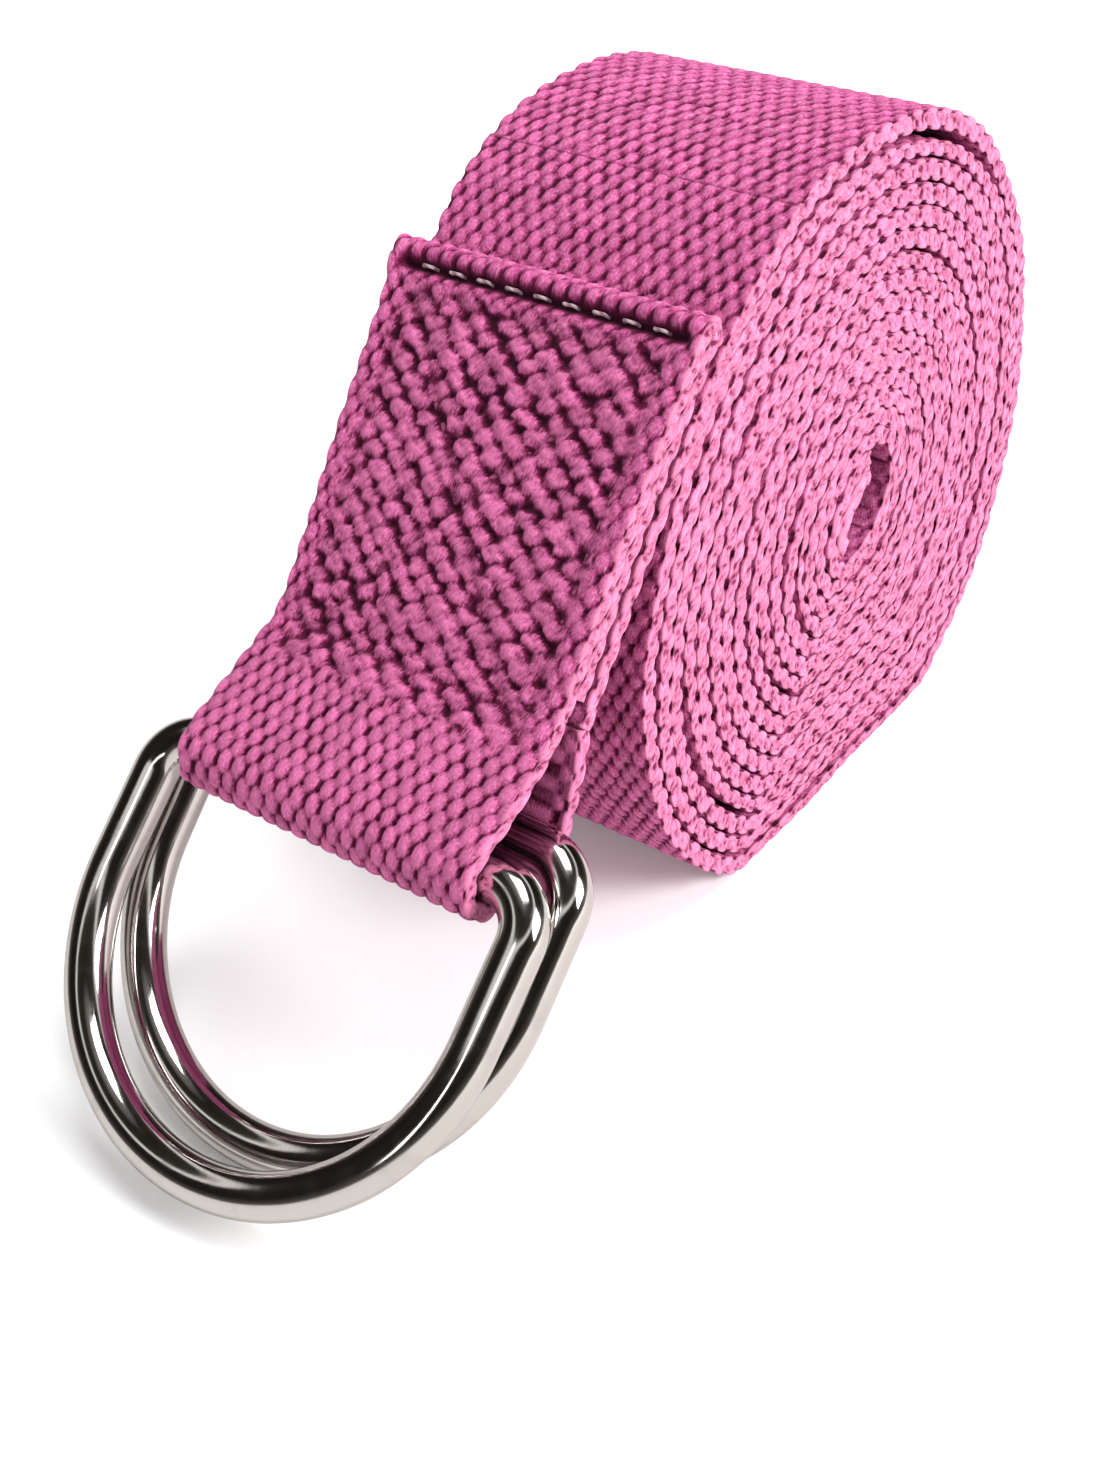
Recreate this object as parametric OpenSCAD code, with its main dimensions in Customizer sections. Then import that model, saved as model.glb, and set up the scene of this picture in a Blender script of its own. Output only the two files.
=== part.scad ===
// Stretching strap: a cotton strap wound into a roll that stands on its rim, with two
// D-rings held in the sewn loop at its outer end.
// X runs along the object, with the rings at -X.  Y is the strap's width.  Z is up.
// The origin is the middle of the flattened patch that the roll rests on.

/* [Webbing] */
// Width of the strap
webbing_w = 38; // [36:0.5:39]
// Thickness of the webbing in the sewn end and the ring loop
webbing_t = 2.2; // [2:0.05:2.3]
// Thickness of the webbing in the roll, where winding squeezes it
wound_t = 1.8; // [1.7:0.05:1.95]

/* [Roll] */
// Distance from one turn to the next
turn_pitch = 2.245; // [2.2:0.005:2.4]
// Number of turns in the roll
turns = 16.14; // [12:0.01:16.14]
// Radius of the middle of the outermost turn where the sewn end leaves it
outer_turn_r = 41.6; // [40:0.1:43]
// Height of the roll's middle above the surface it rests on
roll_h = 35.4; // [35.2:0.1:35.5]
// How far the eye of the roll is longer than it is round
eye_stretch = 1.2; // [0:0.1:1.2]
// How far the outer turns bulge below and above the sewn end, as half of the most
roll_oval = 0.6; // [0:0.1:0.8]

/* [Sewn end] */
// Slope of the sewn end below the horizontal
end_slope = 48.5; // [47:0.5:50]
// From the place where the end leaves the roll back to the fold of its hem
hem_back = 8.2; // [7:0.1:8.5]
// From the same place forward to the end of the sewn layers
sewn_l = 31.3; // [28:0.1:32]
// How many degrees of the outer turn swing out with the sewn end
lift_lead = 12; // [11:0.5:14]
// Length of the hem at the strap's free end, inside the roll, in degrees of turn
free_hem_turn = 120; // [90:5:130]

/* [D-rings] */
// Diameter of the ring wire
wire_d = 4.8; // [4.6:0.1:5]
// Width inside each ring
ring_inner_w = 42; // [41:0.5:43]
// Depth from the middle of the bar to the middle of the wire at the bow
ring_depth = 38; // [34:0.1:39]
// Radius of the ring's two corners, at the middle of the wire
corner_r = 4.8; // [4.5:0.1:5.5]
// Tilt of the outer ring away from the sewn end's slope
outer_ring_tilt = 6.1; // [5:0.1:8]
// Tilt of the inner ring away from the sewn end's slope
inner_ring_tilt = 3.8; // [2:0.1:4]

/* [Sewing] */
// Diameter of the sewing thread
thread_d = 0.7; // [0.5:0.05:0.8]
// Length of one stitch that shows
stitch_l = 2.6; // [2:0.1:2.8]
// Distance from one stitch to the next
stitch_pitch = 3.6; // [3.4:0.1:4]
// Distance from the strap's edge to the side rows
seam_inset = 4; // [3:0.5:6]

/* [Hidden] */

webbing_colour = "hotpink";
thread_colour = "mistyrose";
metal_colour = "silver";

// Spiral: an angle of 0 is +X and 90 is +Z, and the strap runs outward as the angle grows.
winding_step = 10;
end_angle = 90 + end_slope;
split_angle = end_angle - lift_lead;
wound_degrees = winding_step * round(turns * 360 / winding_step);
start_r = outer_turn_r - turn_pitch * wound_degrees / 360;
flat_ratio = 0.866;
flat_softness = 0.02;
flat_reach = 75;
eye_shift = [2.4, 1.0];
eye_fade = 16;
hem_gap = 0.3;

// Sewn end, in its own frame: x along the end towards the rings, y away from the roll
layer_gap = 0.35;
back_y = outer_turn_r - turn_pitch + wound_t / 2 + layer_gap;
under_y = back_y + webbing_t;
front_y = under_y + webbing_t;
top_y = front_y + webbing_t;
fold_x = webbing_t - hem_back;
split_gap = 0.3;

// D-rings
wire_r = wire_d / 2;
bar_play = 0.1;
ring_w = ring_inner_w + wire_d;
bow_r = ring_w / 2;
bow_start = ring_depth - bow_r;
outer_bar = [46.9, 45.5];
inner_bar = [43.4, 39.9];
seat_r = wire_r + bar_play;
wrap_r = seat_r + webbing_t;
bar_gap = outer_bar - inner_bar;
bar_gap_angle = atan2(bar_gap[1], bar_gap[0]);
arc_steps = 10;

// Seams
seam_y = top_y + thread_d * 0.1;
back_seam_y = back_y - thread_d * 0.1;
half_seam_w = webbing_w / 2 - seam_inset;
hem_row_x = fold_x + 0.7;
ring_row_x = sewn_l - 1.6;
back_seam_x = 22;

function polar(r, a) = [r * cos(a), r * sin(a)];

// How far the outermost turn stands out from a round spiral
function bulge(a) = roll_oval * (1 + cos(2 * (a - end_angle - 90)));

// How far the roll is pressed in by the surface below it, as a share of the radius
function press(a) =
    let (d = abs((a + 90 + 3600 * 2 + 180) % 360 - 180))
    d > flat_reach ? 1 :
    let (h = flat_ratio * outer_turn_r / ((outer_turn_r + bulge(a)) * cos(d)))
    (1 + h - sqrt((1 - h) * (1 - h) + flat_softness * flat_softness)) / 2;

// A point of the winding: t degrees wound outward from the free end, off from its middle line
function wound_point(t, off) =
    let (a = split_angle - wound_degrees + t)
    let (r = start_r + turn_pitch * t / 360)
    let (out = bulge(a) * pow(r / outer_turn_r, 2))
    let (stretch = eye_stretch * exp((start_r - r) / eye_fade) * cos(2 * (a - end_angle - 90)))
    polar((r + out) * press(a) + stretch + off, a) + eye_shift * (1 - r / outer_turn_r);

function winding(t0, t1, low, high) = concat(
    [for (t = [t0 : winding_step : t1]) wound_point(t, high)],
    [for (t = [t1 : -winding_step : t0]) wound_point(t, low)]
);

// The point where a line from p touches the circle of radius r about c
function touch(p, c, r, side) =
    let (v = p - c)
    c + polar(r, atan2(v[1], v[0]) + side * acos(r / norm(v)));

function arc_points(c, r, a0, a1) =
    [for (i = [0 : arc_steps]) c + polar(r, a0 + (a1 - a0) * i / arc_steps)];

function angle_at(c, p) = atan2(p[1] - c[1], p[0] - c[0]);

// Stands a profile drawn in X and Z on the strap's width
module across_strap(w = webbing_w) {
    rotate([90, 0, 0])
        linear_extrude(height = w, center = true)
            children();
}

// The roll's own place: its middle is above the origin
module at_roll() {
    translate([0, 0, roll_h])
        children();
}

// The sewn end's frame: x towards the rings, y away from the roll, z along the width
module at_sewn_end() {
    at_roll()
        rotate([0, 180 - end_slope, 0])
            rotate([-90, 0, 0])
                children();
}

module end_slab(x0, x1, y0, w = webbing_w) {
    translate([x0, y0, -w / 2])
        cube([x1 - x0, webbing_t, w]);
}

// One thread that lies on a face, from p to q on that face, with the face at height y
module stitch(p, q, y) {
    run = q - p;
    translate([p[0], y, p[1]])
        rotate([0, 90 - atan2(run[1], run[0]), 0])
            cylinder(d = thread_d, h = norm(run), $fn = 16);
}

// A straight row of stitches from p to q
module stitch_row(p, q, y) {
    run = q - p;
    count = floor(norm(run) / stitch_pitch);
    way = run / norm(run);
    lead = (norm(run) - count * stitch_pitch + stitch_pitch - stitch_l) / 2;
    for (i = [0 : count - 1])
        stitch(p + way * (lead + i * stitch_pitch), p + way * (lead + i * stitch_pitch + stitch_l), y);
}

module rolled_webbing() {
    color(webbing_colour)
        intersection() {
            at_roll()
                across_strap()
                    polygon(winding(0, wound_degrees, -wound_t / 2, wound_t / 2));
            translate([0, 0, outer_turn_r * 2])
                cube(outer_turn_r * 4, center = true);
        }
}

// The strap's last stretch is turned back on itself inside the eye of the roll
module free_end_hem() {
    inner = -turn_pitch - wound_t / 2 + hem_gap;
    color(webbing_colour)
        at_roll()
            across_strap()
                polygon(winding(0, free_hem_turn, inner, -wound_t / 2));
}

module free_end_stitches() {
    t = free_hem_turn - 2 * winding_step;
    at = wound_point(t, -turn_pitch - wound_t / 2 + hem_gap);
    count = floor((webbing_w - 2 * seam_inset) / stitch_pitch);
    color(thread_colour)
        at_roll()
            for (i = [0 : count - 1])
                translate([at[0], (i - count / 2) * stitch_pitch, at[1]])
                    rotate([-90, 0, 0])
                        cylinder(d = thread_d, h = stitch_l, $fn = 16);
}

// The strap itself: it follows the roll to where it leaves it, then runs straight
module end_back_layer() {
    lead_in = split_gap / outer_turn_r * 180 / PI;
    bend = arc_points([0, 0], back_y + webbing_t, 90 + lift_lead - lead_in, 90);
    bend_inside = arc_points([0, 0], back_y, 90, 90 + lift_lead - lead_in);
    color(webbing_colour)
        at_sewn_end()
            linear_extrude(height = webbing_w, center = true)
                polygon(concat(bend, [[sewn_l, under_y], [sewn_l, back_y]], bend_inside));
}

module end_turned_under_layer() {
    color(webbing_colour)
        at_sewn_end()
            end_slab(fold_x, sewn_l, under_y);
}

module end_front_layer() {
    color(webbing_colour)
        at_sewn_end()
            end_slab(fold_x, sewn_l, front_y);
}

// The rounded edge where the front layer turns under
module hem_fold() {
    color(webbing_colour)
        at_sewn_end()
            translate([fold_x, front_y, 0])
                intersection() {
                    cylinder(r = webbing_t, h = webbing_w, center = true, $fn = 48);
                    translate([-webbing_t, 0, 0])
                        cube([2 * webbing_t, 4 * webbing_t, 2 * webbing_w], center = true);
                }
}

// The strap goes round both bars: two round seats and the space between them are cut out
module ring_loop() {
    low = [sewn_l, back_y];
    high = [sewn_l, top_y];
    low_touch = touch(low, inner_bar, wrap_r, 1);
    high_touch = touch(high, outer_bar, wrap_r, -1);
    out_angle = bar_gap_angle - 90;
    outline = concat(
        [high, low],
        arc_points(inner_bar, wrap_r, angle_at(inner_bar, low_touch), out_angle),
        arc_points(outer_bar, wrap_r, out_angle, angle_at(outer_bar, high_touch))
    );
    inner_low = inner_bar + polar(seat_r * 0.8, out_angle - 140);
    inner_out = inner_bar + polar(seat_r * 0.8, out_angle);
    outer_out = outer_bar + polar(seat_r * 0.8, out_angle);
    outer_high = outer_bar + polar(seat_r * 0.8, out_angle + 140);
    color(webbing_colour)
        at_sewn_end()
            difference() {
                linear_extrude(height = webbing_w, center = true)
                    polygon(outline);
                linear_extrude(height = webbing_w + 1, center = true)
                    polygon([[sewn_l, front_y], [sewn_l, under_y], inner_low, inner_out, outer_out, outer_high]);
                for (bar = [inner_bar, outer_bar])
                    translate([bar[0], bar[1], 0])
                        cylinder(r = seat_r, h = webbing_w + 1, center = true, $fn = 64);
            }
}

module hem_stitches() {
    color(thread_colour)
        at_sewn_end()
            stitch_row([hem_row_x, -half_seam_w], [hem_row_x, half_seam_w], seam_y);
}

// The rows along both edges, on the front, and on the back where the end stands off the roll
module side_stitches() {
    color(thread_colour)
        at_sewn_end()
            for (side = [-1, 1]) {
                stitch_row([hem_row_x + 1, side * half_seam_w], [ring_row_x - 1, side * half_seam_w], seam_y);
                stitch_row([back_seam_x, side * half_seam_w], [ring_row_x - 1, side * half_seam_w], back_seam_y);
            }
}

module ring_row_stitches() {
    color(thread_colour)
        at_sewn_end()
            for (y = [seam_y, back_seam_y])
                stitch_row([ring_row_x, -half_seam_w], [ring_row_x, half_seam_w], y);
}

// The cross inside the box of rows
module cross_stitches() {
    margin = 2;
    color(thread_colour)
        at_sewn_end()
            for (side = [-1, 1])
                stitch_row(
                    [hem_row_x + margin, -side * (half_seam_w - margin)],
                    [ring_row_x - margin, side * (half_seam_w - margin)],
                    seam_y
                );
}

// A quarter turn of the ring's wire about its corner
module ring_corner() {
    translate([bow_r - corner_r, corner_r, 0])
        rotate([0, 0, -90])
            rotate_extrude(angle = 90, $fn = 96)
                translate([corner_r, 0])
                    circle(r = wire_r, $fn = 48);
}

// One ring in its own plane: the bar lies along x at the origin and the bow is at +y
module d_ring() {
    bar_l = ring_w - 2 * corner_r;
    rotate([0, 90, 0])
        cylinder(r = wire_r, h = bar_l, center = true, $fn = 48);
    for (side = [0, 1])
        mirror([side, 0, 0]) {
            ring_corner();
            translate([bow_r, corner_r, 0])
                rotate([-90, 0, 0])
                    cylinder(r = wire_r, h = bow_start - corner_r, $fn = 48);
        }
    translate([0, bow_start, 0])
        rotate_extrude(angle = 180, $fn = 128)
            translate([bow_r, 0])
                circle(r = wire_r, $fn = 48);
}

module placed_ring(bar, tilt) {
    at_sewn_end()
        translate([bar[0], bar[1], 0])
            rotate([0, 0, tilt])
                rotate([0, -90, -90])
                    d_ring();
}

module outer_d_ring() {
    color(metal_colour)
        placed_ring(outer_bar, outer_ring_tilt);
}

module inner_d_ring() {
    color(metal_colour)
        placed_ring(inner_bar, inner_ring_tilt);
}

rolled_webbing();
free_end_hem();
free_end_stitches();
end_back_layer();
end_turned_under_layer();
end_front_layer();
hem_fold();
ring_loop();
hem_stitches();
side_stitches();
ring_row_stitches();
cross_stitches();
outer_d_ring();
inner_d_ring();
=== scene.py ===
"""Looks of a stretching strap: cotton webbing wound into a roll, its sewn end holding two D-rings.

X runs along the object with the rings at -X, Y is the strap's width and Z is up. Routes, weaves and
sections are worked out in millimetres, and Skin turns them into metres when it makes a mesh.
"""

import logging
import math
from dataclasses import dataclass
from enum import Enum
from typing import Callable

import bpy
import numpy as np
from mathutils import Matrix, Vector


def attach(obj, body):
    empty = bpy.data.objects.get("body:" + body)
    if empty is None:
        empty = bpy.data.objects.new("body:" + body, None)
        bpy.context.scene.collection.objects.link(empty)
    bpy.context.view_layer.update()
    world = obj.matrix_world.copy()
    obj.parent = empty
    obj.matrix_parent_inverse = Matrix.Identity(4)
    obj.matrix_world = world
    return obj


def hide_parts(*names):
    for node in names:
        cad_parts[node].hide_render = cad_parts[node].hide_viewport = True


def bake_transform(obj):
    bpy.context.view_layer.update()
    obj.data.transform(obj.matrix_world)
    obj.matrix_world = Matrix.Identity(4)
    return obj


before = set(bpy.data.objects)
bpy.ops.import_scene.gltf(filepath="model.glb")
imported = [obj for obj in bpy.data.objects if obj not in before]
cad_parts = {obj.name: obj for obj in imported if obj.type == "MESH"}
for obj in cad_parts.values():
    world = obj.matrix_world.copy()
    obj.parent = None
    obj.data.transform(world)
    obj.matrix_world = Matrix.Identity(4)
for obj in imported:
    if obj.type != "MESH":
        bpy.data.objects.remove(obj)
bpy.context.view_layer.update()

Array = np.ndarray
MM = 0.001
OUT_OF_REACH = 100.0
log = logging.getLogger("strap")


class Side(Enum):
    """Which face of the webbing a yarn lies on."""

    OUTER = 0.0
    INNER = 0.5


def smooth_step(value: Array, low: float, high: float) -> Array:
    """Rise from 0 at low to 1 at high with no corner: t squared times three less two t.

    Args:
        value: Where to look.
        low: The last place that gives 0.
        high: The first place that gives 1.

    Returns:
        The share for each value.
    """
    t = np.clip((value - low) / (high - low), 0.0, 1.0)
    return t * t * (3.0 - 2.0 * t)


def scatter(a: Array, b: Array, salt: float) -> Array:
    """Give each pair of whole numbers its own share from 0 to 1.

    The share is what follows the point in a large multiple of a sine of the pair.

    Args:
        a: First number of each pair.
        b: Second number of each pair.
        salt: Another salt gives other shares.

    Returns:
        The shares.
    """
    wave = np.sin(a * 12.9898 + b * 78.233 + salt * 37.719) * 43758.5453
    return wave - np.floor(wave)


def ripple(along: Array, lengths: tuple[float, ...], salt: float) -> Array:
    """A slow irregular wave from -1 to 1: the mean of sines of the given lengths.

    Args:
        along: Distance along the webbing.
        lengths: The length of each sine.
        salt: Shifts each sine by its own amount.

    Returns:
        The wave.
    """
    waves = [np.sin(2 * np.pi * along / size + salt * (k + 1) * 2.1) for k, size in enumerate(lengths)]
    return np.mean(waves, axis=0)


@dataclass(frozen=True)
class Weave:
    """Warp-faced plain weave: columns of oval yarns, with each column half a repeat from the next."""

    column: float = 0.979
    repeat: float = 3.26
    last_column: int = 19
    half_w: float = 0.93
    half_l: float = 1.26
    slant: float = 0.06
    fullness: float = 2.0
    unevenness: float = 0.2
    flatness: float = 0.38

    def yarns(self, across: Array, along: Array, side: Side) -> tuple[Array, Array]:
        """Find the yarn on top at each place of one face.

        A yarn is an ellipse that leans across as it runs along. Its height is a low power of one less
        the distance from its middle, in half widths and lengths, which gives it a flat top. The highest
        yarn of the column and its two neighbours shows.

        Args:
            across: Distance from the middle of the webbing.
            along: Distance along the webbing.
            side: The face, whose yarns lie between those of the other face.

        Returns:
            The height, from 0 in a gap to 1 on top of a yarn, and the yarn's own number from 0 to 1.
        """
        height = np.zeros(np.broadcast(across, along).shape)
        number = np.full(height.shape, 0.5)
        nearest = np.round(across / self.column)
        for step in (-1.0, 0.0, 1.0):
            column = np.clip(nearest + step, -self.last_column, self.last_column)
            phase = np.mod(column, 2.0) * 0.5 + side.value
            row = np.round(along / self.repeat - phase)
            salt = side.value + 1.0
            jitter_w = self.unevenness * (scatter(column, row, salt) - 0.5)
            jitter_l = self.unevenness * 1.6 * (scatter(column, row, salt + 3.0) - 0.5)
            size = 1.0 + self.unevenness * 0.6 * (scatter(column, row, salt + 5.0) - 0.5)
            dv = along - (row + phase) * self.repeat - jitter_l
            du = across - column * self.column - jitter_w - self.slant * dv
            reach = (np.abs(du) / (self.half_w * size)) ** self.fullness
            reach = reach + (np.abs(dv) / (self.half_l * size)) ** self.fullness
            top = np.clip(1.0 - reach, 0.0, 1.0) ** self.flatness * (0.94 + 0.06 * size)
            number = np.where(top > height, scatter(column, row, salt + 7.0), number)
            height = np.maximum(height, top)
        return height, number


@dataclass(frozen=True)
class Crinkle:
    """The knobbly face of webbing that dense sewing has pulled together."""

    yarns: Weave = Weave(1.9, 3.0, 9, 1.72, 1.2, -0.22, 2.0, 0.36, 0.45)
    wander: float = 0.34

    def drift(self, a: Array, b: Array, salt: float) -> Array:
        """An uneven push from -1 to 1: sines of both distances, each bent by the other."""
        first = np.sin(1.13 * a + 1.7 * np.sin(0.83 * b + salt) + salt)
        second = np.sin(1.91 * b + 1.3 * np.sin(1.47 * a - salt) + 2.0 * salt)
        third = np.sin(3.1 * a - 2.3 * b + 1.1 * np.sin(2.2 * a + salt))
        return (first + second + 0.7 * third) / 2.7

    def knobs(self, across: Array, along: Array) -> tuple[Array, Array]:
        """Find the knobs: yarns of a coarse weave whose places have been pushed about.

        Small lumps are added to each knob, so that no two have the same top.

        Args:
            across: Distance from the middle of the webbing.
            along: Distance along the webbing.

        Returns:
            The height from 0 to 1, and the knob's own number from 0 to 1.
        """
        u = across + self.wander * self.drift(across, along, 1.0)
        v = along + self.wander * self.drift(along, across, 4.0)
        height, number = self.yarns.yarns(u, v, Side.OUTER)
        lumps = 0.5 + 0.5 * self.drift(2.3 * across, 2.7 * along, 7.0)
        return np.clip(height * (0.66 + 0.46 * lumps), 0.0, 1.0), number


@dataclass(frozen=True)
class Felt:
    """The felted edge of the webbing, where the weft turns back: small pits among felted fibres."""

    across: float = 0.98
    along: float = 1.12
    pit: float = 0.26
    swell: float = 0.34

    def face(self, across: Array, along: Array) -> Array:
        """Find how high the edge stands.

        Each cell of a grid, whose every other row is shifted by half, has one pit away from its middle.
        The pit is a bell, drawn out along the webbing, and each has its own depth. A slow swell is added.

        Args:
            across: Distance round the edge.
            along: Distance along the webbing.

        Returns:
            The height, from 0 at the bottom of the deepest pit to 1.
        """
        height = np.ones(np.broadcast(across, along).shape)
        column, rank = np.round(across / self.across), np.round(along / self.along)
        for aside in (-1.0, 0.0, 1.0):
            for ahead in (-1.0, 0.0, 1.0):
                a, b = column + aside, rank + ahead
                shift = 0.5 * np.mod(a, 2.0)
                du = across - (a + 0.6 * (scatter(a, b, 11.0) - 0.5)) * self.across
                dv = along - (b + shift + 0.6 * (scatter(a, b, 12.0) - 0.5)) * self.along
                size = self.pit * (0.7 + 0.6 * scatter(a, b, 13.0))
                depth = scatter(a, b, 14.0) ** 0.8
                bell = depth * np.exp(-((du / size) ** 2) - ((dv / (1.25 * size)) ** 2))
                height = np.minimum(height, 1.0 - bell)
        slow = np.sin(5.1 * across + 2.0 * np.sin(0.9 * along))
        slow = slow * np.sin(2.7 * along + 1.3 * np.sin(3.0 * across))
        return np.clip(height - self.swell * (0.5 + 0.5 * slow), 0.0, 1.0)


@dataclass(frozen=True)
class Route:
    """The middle line of a stretch of webbing, as close points in X and Z."""

    line: Array

    def marks(self) -> Array:
        """Return the distance of each point along the line."""
        steps = np.hypot(*np.diff(self.line, axis=0).T)
        return np.concatenate([[0.0], np.cumsum(steps)])

    def length(self) -> float:
        """Return the line's whole length."""
        return float(self.marks()[-1])

    def at(self, along: Array) -> tuple[Array, Array]:
        """Find places on the line, and the direction that its outer face looks in there.

        The direction is the way along the line turned a quarter turn clockwise.

        Args:
            along: Distances along the line.

        Returns:
            The points and the unit directions, each with two columns.
        """
        marks = self.marks()
        way = np.gradient(self.line, marks, axis=0)
        points = np.stack([np.interp(along, marks, self.line[:, k]) for k in (0, 1)], axis=1)
        ways = np.stack([np.interp(along, marks, way[:, k]) for k in (0, 1)], axis=1)
        ways /= np.linalg.norm(ways, axis=1, keepdims=True)
        return points, np.stack([ways[:, 1], -ways[:, 0]], axis=1)

    def eased(self, reach: float, spacing: float = 0.1) -> "Route":
        """Return the line at even spacing with its corners rounded by a sliding mean of that reach."""
        marks = np.arange(0.0, self.length() + spacing / 2, spacing)
        points, _ = self.at(marks)
        count = max(1, int(reach / spacing))
        ends = [2 * points[:1] - points[count:0:-1], 2 * points[-1:] - points[-2 : -count - 2 : -1]]
        padded = np.concatenate([ends[0], points, ends[1]])
        window = np.ones(2 * count + 1) / (2 * count + 1)
        return Route(np.stack([np.convolve(padded[:, k], window, "valid") for k in (0, 1)], axis=1))


def straight(start: Array, end: Array, spacing: float = 0.1) -> Array:
    """Return close points on the straight line from start to end."""
    start, end = np.asarray(start, float), np.asarray(end, float)
    count = max(2, int(np.linalg.norm(end - start) / spacing))
    return start + (end - start) * np.linspace(0.0, 1.0, count)[:, None]


def arc(centre: Array, radius: float, first: float, last: float, spacing: float = 0.1) -> Array:
    """Return close points on an arc about centre, from the first angle to the last, in degrees."""
    count = max(6, int(abs(math.radians(last - first)) * radius / spacing))
    turn = np.radians(np.linspace(first, last, count))
    return np.asarray(centre, float) + radius * np.stack([np.cos(turn), np.sin(turn)], axis=1)


def touch_angle(point: Array, centre: Array, radius: float, side: float) -> float:
    """Return the angle, in degrees, at which a line from point touches the circle about centre."""
    away = np.asarray(point, float) - np.asarray(centre, float)
    lean = math.degrees(math.acos(radius / float(np.linalg.norm(away))))
    return math.degrees(math.atan2(away[1], away[0])) + side * lean


@dataclass(frozen=True)
class Loose:
    """A stretch of the roll where a turn stands off the next one."""

    turns_in: float
    half_reach: float
    gap: float


@dataclass(frozen=True)
class Winding:
    """The spiral of the roll. It is measured in degrees wound outward from the strap's free end."""

    pitch: float = 2.245
    wound: float = 5810.0
    outer_r: float = 41.6
    height: float = 35.4
    end_angle: float = 138.5
    lead: float = 12.0
    oval: float = 0.6
    eye_stretch: float = 1.2
    eye_fade: float = 16.0
    eye_shift: tuple[float, float] = (2.4, 1.0)
    flat_ratio: float = 0.866
    flat_softness: float = 0.02
    flat_reach: float = 75.0
    lobes: tuple[tuple[float, float, float], ...] = ((84.0, 37.0, 1.2), (-42.0, 34.0, 1.1))
    loose: tuple[Loose, ...] = (
        Loose(12.82, 0.09, 0.95),
        Loose(13.4, 0.19, 0.55),
        Loose(6.31, 0.2, 0.45),
        Loose(1.6, 0.1, 0.7),
        Loose(3.77, 0.08, 0.5),
        Loose(1.17, 0.06, 0.6),
        Loose(9.7, 0.08, 0.4),
        Loose(8.85, 0.1, 0.35),
    )

    def angle(self, wound: Array) -> Array:
        """Return the angle from +X towards +Z at which the strap lies."""
        return self.end_angle - self.lead - self.wound + wound

    def press(self, wound: Array) -> Array:
        """Share of the radius that is left where the roll is pressed flat on the surface below it.

        It is the smaller of one and the share at which the outermost turn would lie on a level line,
        with a soft change from one to the other.

        Args:
            wound: Degrees wound outward.

        Returns:
            The share.
        """
        angle = self.angle(wound)
        away = np.abs(np.mod(angle + 270.0, 360.0) - 180.0)
        near = away < self.flat_reach
        level = np.cos(np.radians(np.where(near, away, 0.0)))
        share = self.flat_ratio * self.outer_r / ((self.outer_r + self.bulge(angle)) * level)
        soft = (1.0 + share - np.sqrt((1.0 - share) ** 2 + self.flat_softness**2)) / 2.0
        return np.where(near, soft, 1.0)

    def bulge(self, angle: Array) -> Array:
        """Return how far the outermost turn stands out from a round spiral at an angle."""
        return self.oval * (1.0 + np.cos(np.radians(2.0 * (angle - self.end_angle - 90.0))))

    def line(self, wound: Array) -> Array:
        """Find the middle line of the spiral.

        The radius grows evenly with the turn. The turns bulge along one line, more so further out, and
        the outermost ones stand out in two lobes. The eye is drawn out, and the middle of the spiral
        shifts towards the eye's place.

        Args:
            wound: Degrees wound outward.

        Returns:
            Points in X and Z.
        """
        angle = self.angle(wound)
        start_r = self.outer_r - self.pitch * self.wound / 360.0
        radius = start_r + self.pitch * wound / 360.0
        out = self.bulge(angle) * (radius / self.outer_r) ** 2
        for middle, half, height in self.lobes:
            away = np.mod(angle - middle + 180.0, 360.0) - 180.0
            out = out + height * np.exp(-((away / half) ** 4)) * (radius / self.outer_r) ** 7
        stretch = self.eye_stretch * np.exp((start_r - radius) / self.eye_fade)
        stretch = stretch * np.cos(np.radians(2.0 * (angle - self.end_angle - 90.0)))
        reach = (radius + out) * self.press(wound) + stretch
        turn = np.radians(angle)
        shift = 1.0 - radius / self.outer_r
        x = reach * np.cos(turn) + self.eye_shift[0] * shift
        z = reach * np.sin(turn) + self.eye_shift[1] * shift + self.height
        return np.stack([x, z], axis=1)

    def slack(self, wound: Array) -> Array:
        """Return how far the outer face draws in where the turn stands off the next one."""
        turns_in = (self.wound - wound) / 360.0
        away = [(turns_in - place.turns_in) / place.half_reach for place in self.loose]
        return np.sum([place.gap * np.exp(-(near**4)) for place, near in zip(self.loose, away)], axis=0)


@dataclass(frozen=True)
class EndFrame:
    """Places on the sewn end: x runs along it towards the rings, y away from the roll."""

    slope: float = 48.5
    origin: tuple[float, float] = (0.0, 35.4)

    def axes(self) -> Array:
        """Return the directions of x and y, in X and Z, as rows."""
        turn = math.radians(self.slope)
        return np.array([[-math.cos(turn), -math.sin(turn)], [-math.sin(turn), math.cos(turn)]])

    def outward(self) -> Array:
        """Return the direction of y in space."""
        return np.array([self.axes()[1, 0], 0.0, self.axes()[1, 1]])

    def world(self, points: Array) -> Array:
        """Return points on the end as points in X and Z."""
        return np.asarray(points, float) @ self.axes() + np.array(self.origin)

    def local(self, points: Array) -> Array:
        """Return points in X and Z as points on the end."""
        return (np.asarray(points, float) - np.array(self.origin)) @ self.axes().T


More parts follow.
